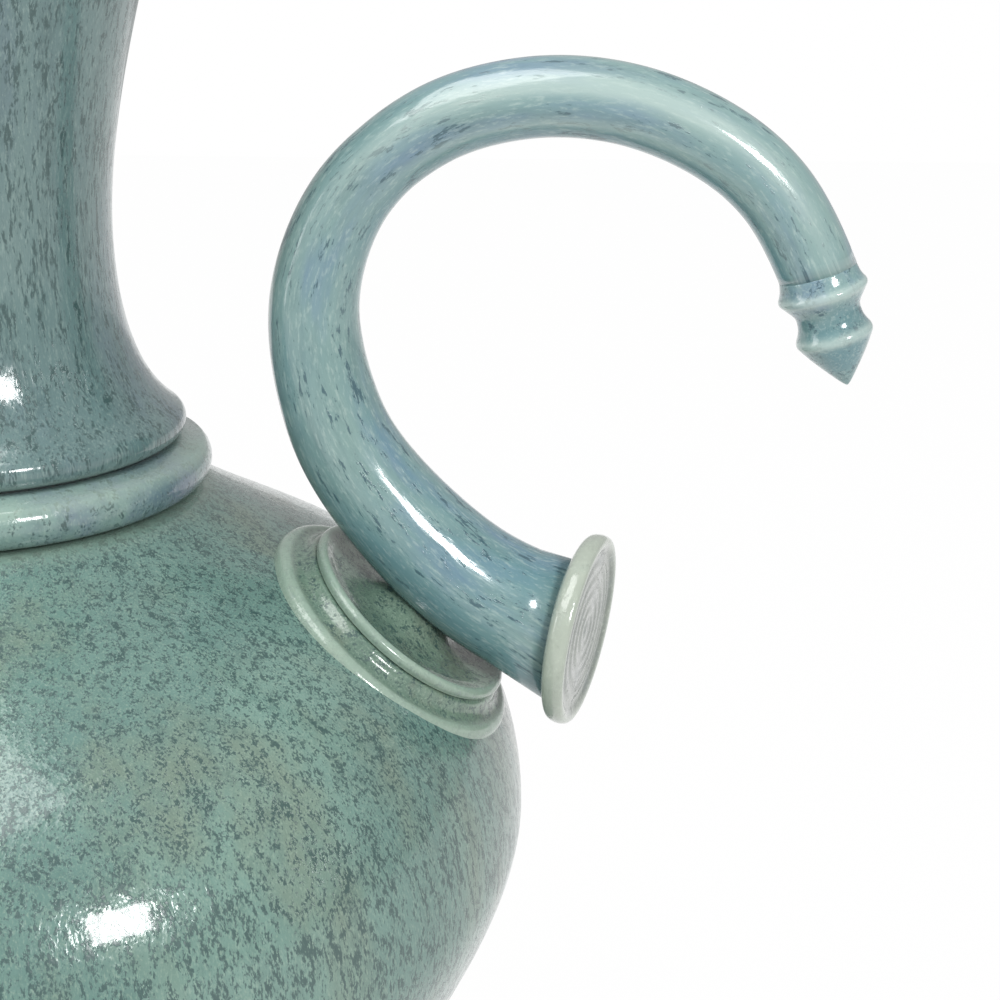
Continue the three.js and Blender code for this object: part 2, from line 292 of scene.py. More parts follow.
@dataclass(frozen=True)
class Glaze:
    """One glaze: its ground, its cloud, fleck, thin and pooled tints, and how it is speckled."""

    name: str
    ground: Colour
    cloud: Colour
    fleck: Colour
    thin: Colour
    pool: Colour
    fleck_cover: float
    cloud_size: float
    fleck_size: float
    roughness: float = 0.16

    def material(self) -> bpy.types.Material:
        """Builds the glaze's material.

        Returns:
            The finished material.
        """
        material = bpy.data.materials.new(self.name)
        material.use_nodes = True
        nodes, links = material.node_tree.nodes, material.node_tree.links
        shader = nodes["Principled BSDF"]
        glaze = nodes.new("ShaderNodeGroup")
        glaze.node_tree = glaze_group()
        values = {
            "Ground": (*self.ground, 1.0),
            "Cloud": (*self.cloud, 1.0),
            "Fleck": (*self.fleck, 1.0),
            "Thin": (*self.thin, 1.0),
            "Pool": (*self.pool, 1.0),
            "Cover": self.fleck_cover,
            "Cloud Size": self.cloud_size,
            "Fleck Size": self.fleck_size,
            "Gloss": self.roughness,
        }
        for label, value in values.items():
            glaze.inputs[label].default_value = value
        # The thin attribute holds the glaze's thinness and, on the collar and the neck, painted highlights.
        for attribute, output, label in (("flow", "Vector", "Flow"), ("thin", "Fac", "Thinness")):
            reader = nodes.new("ShaderNodeAttribute")
            reader.attribute_name = attribute
            links.new(reader.outputs[output], glaze.inputs[label])
        bump = nodes.new("ShaderNodeBump")
        bump.inputs["Strength"].default_value = BUMP_STRENGTH
        bump.inputs["Distance"].default_value = BUMP_DEPTH
        links.new(glaze.outputs["Height"], bump.inputs["Height"])
        links.new(bump.outputs["Normal"], shader.inputs["Normal"])
        links.new(glaze.outputs["Colour"], shader.inputs["Base Color"])
        links.new(glaze.outputs["Roughness"], shader.inputs["Roughness"])
        shader.inputs["IOR"].default_value = GLAZE_IOR
        shader.inputs["Coat Weight"].default_value = COAT_WEIGHT
        shader.inputs["Coat Roughness"].default_value = COAT_ROUGHNESS
        return material


CREAM: Colour = (0.36, 0.47, 0.39)
INK: Colour = (0.030, 0.072, 0.070)

JAR_GLAZE = Glaze(
    "jar_glaze",
    ground=(0.118, 0.218, 0.192),
    cloud=(0.165, 0.280, 0.238),
    fleck=INK,
    thin=(0.34, 0.44, 0.35),
    pool=(0.165, 0.205, 0.150),
    fleck_cover=0.80,
    cloud_size=24.0,
    fleck_size=2300.0,
)
NECK_GLAZE = Glaze(
    "neck_glaze",
    ground=(0.112, 0.190, 0.190),
    cloud=(0.160, 0.245, 0.235),
    fleck=INK,
    # The thin tint is also the colour of the painted highlight at the neck's joint.
    thin=(0.32, 0.42, 0.38),
    pool=(0.110, 0.155, 0.215),
    fleck_cover=0.72,
    cloud_size=30.0,
    fleck_size=2000.0,
)
COLLAR_GLAZE = Glaze(
    "collar_glaze",
    ground=(0.130, 0.205, 0.235),
    cloud=(0.205, 0.320, 0.290),
    fleck=INK,
    # The thin tint is also the colour of the painted highlight at the collar's foot.
    thin=CREAM,
    pool=(0.130, 0.165, 0.250),
    fleck_cover=0.6,
    cloud_size=45.0,
    fleck_size=2000.0,
)
PAD_GLAZE = Glaze(
    "pad_glaze",
    ground=(0.120, 0.195, 0.150),
    cloud=(0.180, 0.265, 0.200),
    fleck=INK,
    thin=CREAM,
    pool=(0.170, 0.200, 0.150),
    fleck_cover=0.7,
    cloud_size=60.0,
    fleck_size=1900.0,
)
HORN_GLAZE = Glaze(
    "horn_glaze",
    ground=(0.115, 0.235, 0.262),
    cloud=(0.215, 0.330, 0.310),
    fleck=(0.030, 0.085, 0.110),
    thin=(0.47, 0.57, 0.53),
    pool=(0.125, 0.205, 0.345),
    fleck_cover=0.52,
    cloud_size=42.0,
    fleck_size=1500.0,
)
DISC_GLAZE = Glaze(
    "disc_glaze",
    ground=(0.150, 0.175, 0.155),
    cloud=(0.215, 0.245, 0.210),
    fleck=(0.07, 0.09, 0.08),
    thin=(0.52, 0.58, 0.49),
    pool=(0.190, 0.225, 0.225),
    fleck_cover=0.45,
    cloud_size=90.0,
    fleck_size=1100.0,
)
BARE_CLAY = Glaze(
    "bare_clay",
    ground=(0.36, 0.27, 0.18),
    cloud=(0.43, 0.33, 0.23),
    fleck=(0.10, 0.06, 0.04),
    thin=(0.50, 0.40, 0.30),
    pool=(0.30, 0.22, 0.15),
    fleck_cover=0.3,
    cloud_size=70.0,
    fleck_size=1200.0,
    roughness=0.75,
)

# How near to its axis a closed piece's outline comes, in mm.
POLE = 0.5


def bezier(first: Point, second: Point, third: Point, fourth: Point, steps: int = 48) -> np.ndarray:
    """Points along a cubic curve of an outline.

    Args:
        first: The start as radius and height.
        second: The first handle.
        third: The second handle.
        fourth: The end.
        steps: How many steps it is cut in.

    Returns:
        An array of radius and height.
    """
    along = np.linspace(0.0, 1.0, steps + 1)[:, None]
    corners = [np.array(corner) for corner in (first, second, third, fourth)]
    rest = 1.0 - along
    return (
        rest**3 * corners[0]
        + 3 * rest**2 * along * corners[1]
        + 3 * rest * along**2 * corners[2]
        + along**3 * corners[3]
    )


def arc(radius: float, height: float, size: float, start: float, end: float, steps: int = 12) -> np.ndarray:
    """Points on a round of an outline, from one angle in degrees to another."""
    angles = np.radians(np.linspace(start, end, steps + 1))
    return np.c_[radius + size * np.cos(angles), height + size * np.sin(angles)]


def measured(corner: Point, profile: Profile) -> list[Point]:
    """The points of a profile that is measured from a corner, as outwards and upwards."""
    return [(corner[0] + out, corner[1] + up) for out, up in profile]


def inset(points: np.ndarray, distance: float) -> np.ndarray:
    """Moves an outline that runs up the outside inwards.

    Args:
        points: Radius and height.
        distance: How far, in the same unit.

    Returns:
        The moved outline.
    """
    tangent = np.gradient(points, axis=0)
    tangent /= np.linalg.norm(tangent, axis=1)[:, None]
    return points - np.c_[tangent[:, 1], -tangent[:, 0]] * distance


def smooth(points: np.ndarray, rounds: int = 2) -> np.ndarray:
    """Rounds an outline's corners by cutting them, keeping its ends.

    Args:
        points: The outline.
        rounds: How many times its corners are cut.

    Returns:
        The rounded outline.
    """
    for _ in range(rounds):
        lower = 0.75 * points[:-1] + 0.25 * points[1:]
        upper = 0.25 * points[:-1] + 0.75 * points[1:]
        middle = np.stack([lower, upper], axis=1).reshape(-1, points.shape[1])
        points = np.vstack([points[:1], middle, points[-1:]])
    return points


def through(spots: np.ndarray, steps: int) -> np.ndarray:
    """A smooth line through points, even where they lie at uneven distances.

    Args:
        spots: The points.
        steps: How many steps each stretch is cut in.

    Returns:
        The line's points.
    """
    spots = np.vstack([2 * spots[0] - spots[1], spots, 2 * spots[-1] - spots[-2]])
    line = []
    for place in range(1, len(spots) - 2):
        before, start, end, after = spots[place - 1 : place + 3]
        gaps = [math.sqrt(np.linalg.norm(b - a)) for a, b in ((before, start), (start, end), (end, after))]
        leave = (start - before) / gaps[0] - (end - before) / (gaps[0] + gaps[1]) + (end - start) / gaps[1]
        reach = (end - start) / gaps[1] - (after - start) / (gaps[1] + gaps[2]) + (after - end) / gaps[2]
        leave, reach = leave * gaps[1], reach * gaps[1]
        share = np.linspace(0, 1, steps, endpoint=False)[:, None]
        line.append(
            start
            + leave * share
            + (-3 * start + 3 * end - 2 * leave - reach) * share**2
            + (2 * start - 2 * end + leave + reach) * share**3
        )
    return np.vstack([*line, spots[-2][None]])


def run_lengths(line: np.ndarray) -> np.ndarray:
    """How far along a line each of its points is."""
    return np.r_[0, np.cumsum(np.linalg.norm(np.diff(line, axis=0), axis=1))]


@dataclass
class Shell:
    """A closed skin of rows of points, each row going once round."""

    name: str
    rows: np.ndarray
    flow: np.ndarray
    thin: np.ndarray
    loops: bool = False

    def faces(self) -> list[tuple[int, ...]]:
        """The skin's faces, with a cap on each end where it doesn't close on itself.

        Returns:
            The corners of each face, by number.
        """
        count, around = self.rows.shape[:2]
        faces = []
        for band in range(count if self.loops else count - 1):
            here = band * around
            above = ((band + 1) % count) * around
            for side in range(around):
                after = (side + 1) % around
                faces.append((here + side, here + after, above + after, above + side))
        if not self.loops:
            faces.append(tuple(range(around - 1, -1, -1)))
            faces.append(tuple(range((count - 1) * around, count * around)))
        return faces

    def build(self, matrix: Matrix) -> bpy.types.Object:
        """Makes the mesh, with the attributes that its glaze reads.

        Args:
            matrix: The place of the rows in the pot's frame.

        Returns:
            The object, unturned at the origin.
        """
        mesh = bpy.data.meshes.new(self.name)
        mesh.from_pydata(self.rows.reshape(-1, 3).tolist(), [], self.faces())
        mesh.transform(matrix)
        flow = mesh.attributes.new("flow", "FLOAT_VECTOR", "POINT")
        flow.data.foreach_set("vector", self.flow.ravel())
        thin = mesh.attributes.new("thin", "FLOAT", "POINT")
        thin.data.foreach_set("value", self.thin.ravel())
        mesh.shade_smooth()
        mesh.update()
        piece = bpy.data.objects.new(self.name, mesh)
        bpy.context.scene.collection.objects.link(piece)
        return piece


def turned(
    name: str, outline: np.ndarray, thin: np.ndarray, loops: bool, streak: float = 1.0, sides: int = 144
) -> Shell:
    """A turned form about +Z.

    Args:
        name: The piece's name.
        outline: Radius and height in mm, up the outside.
        thin: How thin the glaze is at each point, from 0 to 1, with any painted highlight in it.
        loops: Whether the outline closes on itself.
        streak: How much longer than wide the glaze's flecks run.
        sides: How many sides the form has.

    Returns:
        The skin.
    """
    angles = np.linspace(0.0, 2 * math.pi, sides, endpoint=False)
    radius = outline[:, 0][:, None] * MM
    height = np.repeat(outline[:, 1][:, None] * MM, sides, axis=1)
    rows = np.stack([radius * np.cos(angles), radius * np.sin(angles), height], axis=2)
    flow = rows * np.array([1.0, 1.0, 1.0 / streak])
    return Shell(name, rows, flow, np.repeat(thin[:, None], sides, axis=1), loops)


class PaleMark(NamedTuple):
    """Where the glaze is made paler: a place on some measure, its reach either way and its strength. Mostly
    this is glaze run thin; at the collar's foot and the neck's joint it is a painted highlight.
    """

    place: float
    reach: float
    strength: float


def paled_along(values: np.ndarray, origin: float, *places: PaleMark) -> np.ndarray:
    """How much paler the glaze is made along some measure, such as radius or height: its thinness, and at two
    joints a painted highlight.

    Args:
        values: The measure of each point.
        origin: What the places are measured from.
        places: Where it is made paler.

    Returns:
        The amount at each point.
    """
    total = np.zeros(len(values))
    for bare in places:
        fade = np.exp(-(((values - (origin + bare.place)) / bare.reach) ** 2))
        total = np.maximum(total, bare.strength * fade)
    return total


def finish(piece: bpy.types.Object, glaze: Glaze, node: str) -> None:
    """Gives a piece its glaze, hangs it under the root and hides the node that it replaces.

    Args:
        piece: The piece.
        glaze: Its glaze.
        node: The node that it replaces.
    """
    piece.data.materials.append(glaze.material())
    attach(piece, "root")
    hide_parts(node)
    LOG.info("made %s", piece.name)


@dataclass
class Pot:
    """The foot, jar, collar ring and neck. Sizes in mm, angles in degrees."""

    slip: float = 0.3
    opening_radius: float = 32.0

    foot_radius: float = 52.0
    foot_width: float = 9.0
    foot_height: float = 9.0
    foot_chamfer: float = 0.6
    foot_edge: Profile = ((-1.5, 0.0), (-0.4, 0.5), (0.0, 1.6))

    jar_top: float = 230.0
    jar_wall: float = 6.0
    jar_floor: float = 8.0
    jar_underside_edge: float = 2.0
    jar_inside_start: float = 14.0
    jar_inside_corner: float = 4.0
    jar_streak: float = 3.4
    jar_bare: PaleMark = PaleMark(0.0, reach=1.2, strength=0.36)

    foot_draw: float = 2.0
    foot_rise: float = 51.0
    belly_radius: float = 110.8
    belly_height: float = 156.4
    belly_fall: float = 30.0
    belly_rise: float = 46.0
    shoulder_radius: float = 43.5
    shoulder_reach: float = 34.0
    shoulder_slope: float = 35.5

    collar_radius: float = 44.8
    collar_height: float = 10.0
    collar_arc: tuple[float, float] = (-80, 48)
    collar_step: Profile = ((-4.3, -0.9), (-5.2, -0.15), (-6.4, 0.0))
    collar_crown: PaleMark = PaleMark(8.2, reach=1.6, strength=0.5)
    # Painted highlight: the pale line at the collar's foot stands in for the glint on its joint with the jar.
    collar_foot_highlight: PaleMark = PaleMark(0.0, reach=0.7, strength=0.3)
    collar_streak: float = 1.3

    bead_radius: float = 39.9
    bead_round: float = 3.4
    bead_arc: tuple[float, float] = (-80, 50)
    bead_draw: float = 5.7
    bead_rise: float = 4.7

    neck_height: float = 131.0
    neck_wall: float = 4.5
    neck_inside_start: float = 1.0
    neck_inside_chamfer: float = 2.0
    neck_streak: float = 5.0
    # Painted highlight: the pale line at the foot of the neck stands in for the glint in the groove above the
    # collar.
    neck_joint_highlight: PaleMark = PaleMark(0.6, reach=0.9, strength=0.5)
    waist_radius: float = 27.75
    waist_height: float = 40.0
    waist_fall: float = 20.0
    waist_rise: float = 22.0
    mouth_radius: float = 52.0
    mouth_draw: float = 16.0
    mouth_fall: float = 40.0
    lip_round: float = 2.4
    lip_arc: tuple[float, float] = (-20, 160)
    lip_bare: PaleMark = PaleMark(1.5, reach=1.8, strength=0.7)

    def upper(self) -> np.ndarray:
        """The jar's outside from the belly up to the shoulder.

        Returns:
            Radius and height of its points.
        """
        slope = math.radians(self.shoulder_slope)
        out = self.shoulder_reach * math.cos(slope)
        down = self.shoulder_reach * math.sin(slope)
        return bezier(
            (self.belly_radius, self.belly_height),
            (self.belly_radius, self.belly_height + self.belly_rise),
            (self.shoulder_radius + out, self.jar_top - down),
            (self.shoulder_radius, self.jar_top),
        )

    def lower(self) -> np.ndarray:
        """The jar's outside from the foot up to the belly.

        Returns:
            Radius and height of its points.
        """
        bottom = self.foot_height + self.slip
        return bezier(
            (self.foot_radius, bottom),
            (self.foot_radius - self.foot_draw, bottom + self.foot_rise),
            (self.belly_radius, self.belly_height - self.belly_fall),
            (self.belly_radius, self.belly_height),
        )

    def outside(self) -> np.ndarray:
        """The jar's whole outside, from the foot up to the shoulder."""
        return np.vstack([self.lower(), self.upper()[1:]])

    def radius_at(self, height: np.ndarray) -> np.ndarray:
        """The jar's outer radius at a height, in mm."""
        side = self.outside()
        return np.interp(height, side[:, 1], side[:, 0])

    def jar(self) -> Shell:
        """The jar, open at the shoulder.

        Returns:
            The skin.
        """
        side = self.outside()
        inside = inset(side, self.jar_wall)
        inside = inside[inside[:, 1] > self.foot_height + self.jar_inside_start][::-1]
        bottom = self.foot_height + self.slip
        floor = bottom + self.jar_floor
        outline = np.vstack([
            [(POLE, bottom), (self.foot_radius - self.jar_underside_edge, bottom)],
            side,
            [(self.opening_radius, self.jar_top), (self.opening_radius, self.jar_top - self.jar_wall / 2)],
            inside,
            [(inside[-1][0] - self.jar_inside_corner, floor), (POLE, floor)],
        ])
        thin = paled_along(outline[:, 1], self.jar_top, self.jar_bare)
        return turned("jar", outline, thin, loops=False, streak=self.jar_streak)

    def collar(self) -> Shell:
        """The collar ring.

        Returns:
            The skin.
        """
        bottom = self.jar_top + self.slip
        top = bottom + self.collar_height
        size = self.collar_height / 2
        outline = np.vstack([
            [(self.opening_radius, bottom)],
            arc(self.collar_radius - size, bottom + size, size, *self.collar_arc),
            measured((self.collar_radius, top), self.collar_step),
            [(self.opening_radius, top)],
        ])
        # The thinness here is real thin glaze on the crown, plus a painted highlight along the collar's foot.
        thin = paled_along(outline[:, 1], bottom, self.collar_crown, self.collar_foot_highlight)
        return turned("collar", outline, thin, loops=True, streak=self.collar_streak)

    def neck(self) -> Shell:
        """The neck with its bead, waist and mouth.

        Returns:
            The skin.
        """
        bottom = self.jar_top + self.collar_height + 2 * self.slip
        waist = bottom + self.waist_height
        lip = bottom + self.neck_height - self.lip_round
        flare = self.mouth_radius - self.lip_round
        round_centre = self.bead_radius - self.bead_round
        bead = arc(round_centre, bottom + self.bead_round, self.bead_round, *self.bead_arc)
        top = bead[-1]
        lower = bezier(
            tuple(top),
            (top[0] - self.bead_draw, top[1] + self.bead_rise),
            (self.waist_radius, waist - self.waist_fall),
            (self.waist_radius, waist),
        )
        upper = bezier(
            (self.waist_radius, waist),
            (self.waist_radius, waist + self.waist_rise),
            (self.mouth_radius - self.mouth_draw, lip - self.mouth_fall),
            (flare, lip),
        )
        inside = inset(np.vstack([lower, upper[1:]]), self.neck_wall)[::-1]
        inside = inside[inside[:, 1] > top[1] + self.neck_inside_start]
        outline = np.vstack([
            [(self.opening_radius, bottom)],
            bead,
            lower[1:],
            upper[1:-1],
            arc(flare, lip, self.lip_round, *self.lip_arc),
            inside[1:],
            [(self.opening_radius, bottom + self.neck_inside_chamfer)],
        ])
        # A painted highlight in the groove at the neck's foot, with real thin glaze at the lip.
        groove_highlight = paled_along(outline[:, 1], bottom, self.neck_joint_highlight)
        mouth = paled_along(outline[:, 1], lip, self.lip_bare)
        return turned("neck", outline, np.maximum(groove_highlight, mouth), loops=True, streak=self.neck_streak)

    def foot(self) -> Shell:
        """The foot ring.

        Returns:
            The skin.
        """
        inner = self.foot_radius - self.foot_width
        outline = np.array([
            (inner + self.foot_chamfer, 0.0),
            *measured((self.foot_radius, 0.0), self.foot_edge),
            (self.foot_radius, self.foot_height),
            (inner, self.foot_height),
            (inner, self.foot_chamfer),
        ])
        return turned("foot", outline, np.zeros(len(outline)), loops=True)

    def dress(self) -> None:
        """Builds and glazes the four pieces."""
        for shell, glaze, node in (
            (self.foot(), BARE_CLAY, "foot_ring"),
            (self.jar(), JAR_GLAZE, "vase_jar"),
            (self.collar(), COLLAR_GLAZE, "collar_ring"),
            (self.neck(), NECK_GLAZE, "vase_neck"),
        ):
            finish(shell.build(Matrix.Identity(4)), glaze, node)


class End(NamedTuple):
    """Where the horn's tube stops: a point, the way that it faces and how much wider the tube gets."""

    place: np.ndarray
    facing: np.ndarray
    flare: float


@dataclass
class Horn:
    """A pad with its curled horn, disc and finial. Sizes in mm and angles in degrees, in the pad's frame."""

    pot: Pot
    side: Side

    pad_distance: float = 86.3
    pad_lean: float = 4.35
    bedding: float = 0.8
    bedding_lowest: float = -22.0
    bedding_highest: float = 6.0
    bedding_halvings: int = 24

    base_radius: float = 30.5
    base_bore: float = 19.0
    base_depth: float = 9.0
    base_rim: float = -2.3
    base_top: float = 0.8
    base_edge: Profile = ((0.0, -4.0), (0.0, -1.2), (-1.4, 0.2))
    base_hollow: Profile = ((2.6, 0.1),)
    base_step: Profile = ((1.0, -2.2), (0.2, -0.2), (-1.0, 0.0))
    base_bare: PaleMark = PaleMark(-0.9, reach=1.3, strength=0.9)

    seat_radius: float = 24.7
    seat_depth: float = 5.0
    seat_underside: tuple[float, float, float] = (POLE, 9.0, 18.7)
    seat_undercut: float = 0.3
    seat_ridge: float = 3.2
    seat_dish: float = 1.7
    seat_edge: Profile = ((0.1, -0.9), (-0.9, 0.25), (-2.2, -0.2))
    seat_slope: Profile = ((-4.6, 0.3),)
    seat_hollow: Profile = ((13.0, -0.1), (9.5, 1.0))
    seat_middle: Profile = ((6.0, 4.6), (POLE, 4.8))
    seat_bare: PaleMark = PaleMark(-0.9, reach=0.9, strength=0.9)

    shaft_radius: float = 7.5
    bell_radius: float = 14.6
    swell_start: float = 0.43
    swell_power: float = 1.1
    tube_rows: int = 261
    tube_sides: int = 48
    tube_streak: float = 4.5
    route_steps: int = 40
    route: Profile = (
        (19.6, 105.4), (13.7, 109.2), (-2.3, 114.8), (-16.8, 114.7), (-34.4, 108.9),
        (-49.3, 97.8), (-60.2, 81.6), (-63.7, 61.0), (-56.7, 40.6), (-40.8, 25.6),
        (-25.9, 18.9), (3.0, 15.6), (24.0, 19.6), (42.0, 25.8),
    )
    crown_bare: PaleMark = PaleMark(0.25, reach=0.2, strength=0.85)
    outer_band: PaleMark = PaleMark(-0.35, reach=0.3, strength=1.0)
    inner_band: PaleMark = PaleMark(0.6, reach=0.16, strength=0.6)

    disc_centre: Point = (31.1, 23.8)
    disc_heading: float = 32.4
    disc_turn: float = 16.0
    disc_radius: float = 20.4
    disc_thickness: float = 5.0
    disc_gap: float = 0.1
    disc_flare: float = 1.7
    disc_run: float = 11.0
    disc_back: Profile = ((-2.4, 0.0), (-0.4, 0.9))
    disc_front: Profile = ((0.05, -1.9), (-0.5, -0.1), (-2.0, -0.05), (-3.4, -0.8))
    disc_face_edge: float = 4.0
    disc_face_depth: float = 0.85
    disc_groove_depth: float = 0.1
    disc_groove_pace: float = 1.9
    disc_rings: int = 60
    disc_sides: int = 96
    disc_bare: PaleMark = PaleMark(-0.6, reach=1.5, strength=1.0)

    finial_seat: Point = (13.7, 109.2)
    finial_heading: float = -31.3
    finial_run: float = 1.5
    finial_length: float = 23.1
    finial_root: Point = (0.3, -0.5)
    finial_neck: Profile = ((-0.1, -0.5), (0.15, 0.8))
    finial_tip: float = 0.2
    finial_profile: Profile = (
        (8.0, 2.4), (8.95, 3.9), (7.9, 5.3), (6.35, 7.3), (6.2, 8.7), (6.5, 10.6),
        (7.75, 12.8), (6.9, 14.3), (5.3, 16.8), (2.9, 20.0), (0.9, 22.5),
    )
    finial_bare: tuple[PaleMark, PaleMark] = (PaleMark(3.9, reach=1.0, strength=1.0), PaleMark(12.7, reach=1.0, strength=0.9))
    finial_sides: int = 64

    def matrix(self) -> Matrix:
        """The pad's frame in the pot's: +X down the slope, +Z out of the shoulder.

        Returns:
            The matrix, in metres.
        """
        upper = self.pot.upper()
        nearest = int(np.argmin(np.abs(upper[:, 0] - self.pad_distance)))
        height = float(np.interp(-self.pad_distance, -upper[:, 0], upper[:, 1]))
        run = upper[nearest + 1] - upper[nearest - 1]
        tilt = math.atan2(run[1], -run[0]) + math.radians(self.pad_lean)
        turn = Matrix.Rotation(self.side.value, 4, "Z")
        shift = Matrix.Translation((self.pad_distance * MM, 0, height * MM))
        return turn @ shift @ Matrix.Rotation(tilt, 4, "Y")

    def shoulder_height(self, along: np.ndarray, across: np.ndarray) -> np.ndarray:
        """How high the shoulder is in the pad's frame, in mm, the same on both sides.

        Args:
            along: The places down the slope.
            across: The places sideways.

        Returns:
            The heights.
        """
        place = replace(self, side=Side.RIGHT).matrix()
        low = np.full(along.shape, self.bedding_lowest)
        high = np.full(along.shape, self.bedding_highest)
        turn = np.array(place.to_3x3())
        shift = np.array(place.translation) / MM
        for _ in range(self.bedding_halvings):
            middle = (low + high) / 2
            spots = np.stack([along, across, middle], axis=-1) @ turn.T + shift
            outside = np.hypot(spots[..., 0], spots[..., 1]) > self.pot.radius_at(spots[..., 2])
            high = np.where(outside, middle, high)
            low = np.where(outside, low, middle)
        return low

    def bedded(self, shell: Shell, count: int) -> Shell:
        """Lays the first rows of a pad's skin just under the shoulder's surface.

        Args:
            shell: The skin.
            count: How many rows are laid.

        Returns:
            The same skin.
        """
        for row in range(count):
            heights = self.shoulder_height(shell.rows[row, :, 0] / MM, shell.rows[row, :, 1] / MM)
            shell.rows[row, :, 2] = (heights - self.bedding) * MM
        return shell

    def name(self, piece: str) -> str:
        """A piece's name on this side."""
        return f"{piece}_{self.side.name.lower()}"

    def pad_base(self) -> Shell:
        """The lower tier, a ring.

        Returns:
            The skin.
        """
        underside = [(self.base_bore, -self.base_depth), (self.base_radius, -self.base_depth)]
        edge = smooth(np.array([
            *measured((self.base_radius, self.base_rim), self.base_edge),
            *measured((self.seat_radius, self.base_rim), self.base_hollow),
            *measured((self.seat_radius, self.base_top), self.base_step),
        ]))
        outline = np.vstack([underside, edge, [(self.base_bore, self.base_top)]])
        thin = paled_along(outline[:, 0], self.base_radius, self.base_bare)
        thin[: len(underside)] = 0.0
        return self.bedded(turned(self.name("pad_lower"), outline, thin, loops=True), len(underside))

    def pad_seat(self) -> Shell:
        """The upper tier, with its ridge and dish.

        Returns:
            The skin.
        """
        bottom = self.base_top + self.pot.slip
        underside = [(radius, -self.seat_depth) for radius in self.seat_underside]
        step = (self.seat_underside[-1], bottom)
        edge = smooth(np.array([
            (self.seat_radius - self.seat_undercut, bottom),
            *measured((self.seat_radius, self.seat_ridge), self.seat_edge),
            *measured((self.seat_radius, self.seat_dish), self.seat_slope),
            *measured((0.0, self.seat_dish), self.seat_hollow),
            *self.seat_middle,
        ]))
        outline = np.vstack([underside, [step], edge])
        thin = paled_along(outline[:, 0], self.seat_radius, self.seat_bare)
        thin[: len(underside) + 1] = 0.0
        return self.bedded(turned(self.name("pad_upper"), outline, thin, loops=False), len(underside))

    def path(self) -> np.ndarray:
        """The horn's route as evenly spaced points of along and height.

        Returns:
            The points, in mm.
        """
        dense = through(np.array(self.route), self.route_steps)
        length = run_lengths(dense)
        even = np.linspace(0, length[-1], self.tube_rows)
        return np.c_[np.interp(even, length, dense[:, 0]), np.interp(even, length, dense[:, 1])]

    def ends(self) -> tuple[End, End]:
        """Where the tube stops.

        Returns:
            The finial's seat and the back of the disc.
        """
        back = self.disc_thickness + self.disc_gap
        ends = []
        for centre, heading, turn, depth, flare in (
            (self.finial_seat, self.finial_heading, 0.0, 0.0, 0.0),
            (self.disc_centre, self.disc_heading, self.disc_turn, back, self.disc_flare),
        ):
            rise = math.radians(heading)
            swing = math.radians(turn)
            level = math.cos(rise)
            facing = np.array([level * math.cos(swing), -level * math.sin(swing), math.sin(rise)])
            place = np.array([centre[0], 0.0, centre[1]]) - facing * depth
            ends.append(End(place, facing, flare))
        return ends[0], ends[1]

    def tube(self) -> Shell:
        """The horn itself, from the finial's seat to the back of the disc.

        Returns:
            The skin.
        """
        path = self.path()
        tangent = np.gradient(path, axis=0)
        tangent /= np.linalg.norm(tangent, axis=1)[:, None]
        share = np.linspace(0, 1, len(path))
        swell = np.clip((share - self.swell_start) / (1 - self.swell_start), 0, 1)
        radius = self.shaft_radius + (self.bell_radius - self.shaft_radius) * swell**self.swell_power
        line = np.c_[path[:, 0], np.zeros(len(path)), path[:, 1]]
        length = run_lengths(path)
        first, last = self.ends()
        ahead_of = [(line - end.place) @ end.facing for end in (first, last)]
        clear = np.where(share < 0.5, ahead_of[0] < -self.finial_run, ahead_of[1] < -self.disc_run)
        rows_used = np.flatnonzero(clear)
        angles = np.linspace(0, 2 * math.pi, self.tube_sides, endpoint=False)
        bands = self.bands(angles)
        rows, flow, thin = [], [], []
        for row, end in [(rows_used[0], first), *((row, None) for row in rows_used), (rows_used[-1], last)]:
            across = np.array([-tangent[row][1], 0.0, tangent[row][0]])
            ahead = np.array([tangent[row][0], 0.0, tangent[row][1]])
            size = radius[row] + (end.flare if end else 0.0)
            spots = line[row] + np.outer(size * np.cos(angles), across)
            spots[:, 1] = size * np.sin(angles)
            if end:
                spots = spots + np.outer(((end.place - spots) @ end.facing) / (ahead @ end.facing), ahead)
            rows.append(spots * MM)
            run = np.full(self.tube_sides, length[row] / self.tube_streak)
            flow.append(np.c_[run, size * np.cos(angles), size * np.sin(angles)] * MM)
            crown = paled_along(share[row : row + 1], 0.0, self.crown_bare)
            thin.append(np.clip(crown * bands, 0, 1))
        return Shell(self.name("horn"), np.array(rows), np.array(flow), np.array(thin))

    def bands(self, angles: np.ndarray) -> np.ndarray:
        """How thin the glaze runs in two bands along the horn, on its outer and its inner half.

        Args:
            angles: The angles round the tube, from its inner side.

        Returns:
            The thinness at each angle.
        """
        outer = paled_along(np.cos(angles), 0.0, self.outer_band)
        inner = paled_along(np.cos(angles), 0.0, self.inner_band)
        return outer + inner

    def heading_matrix(self, place: Point, heading: float, turn: float = 0.0) -> Matrix:
        """The place of a piece that is made about +Z and faces a heading of the route's plane.

        Args:
            place: Its point in the route's plane.
            heading: Its heading.
            turn: How far it is turned out of the plane.

        Returns:
            The matrix, in metres.
        """
        spot = Matrix.Translation((place[0] * MM, 0, place[1] * MM))
        swing = Matrix.Rotation(math.radians(-turn), 4, "Z")
        return self.matrix() @ spot @ swing @ Matrix.Rotation(math.radians(90 - heading), 4, "Y")

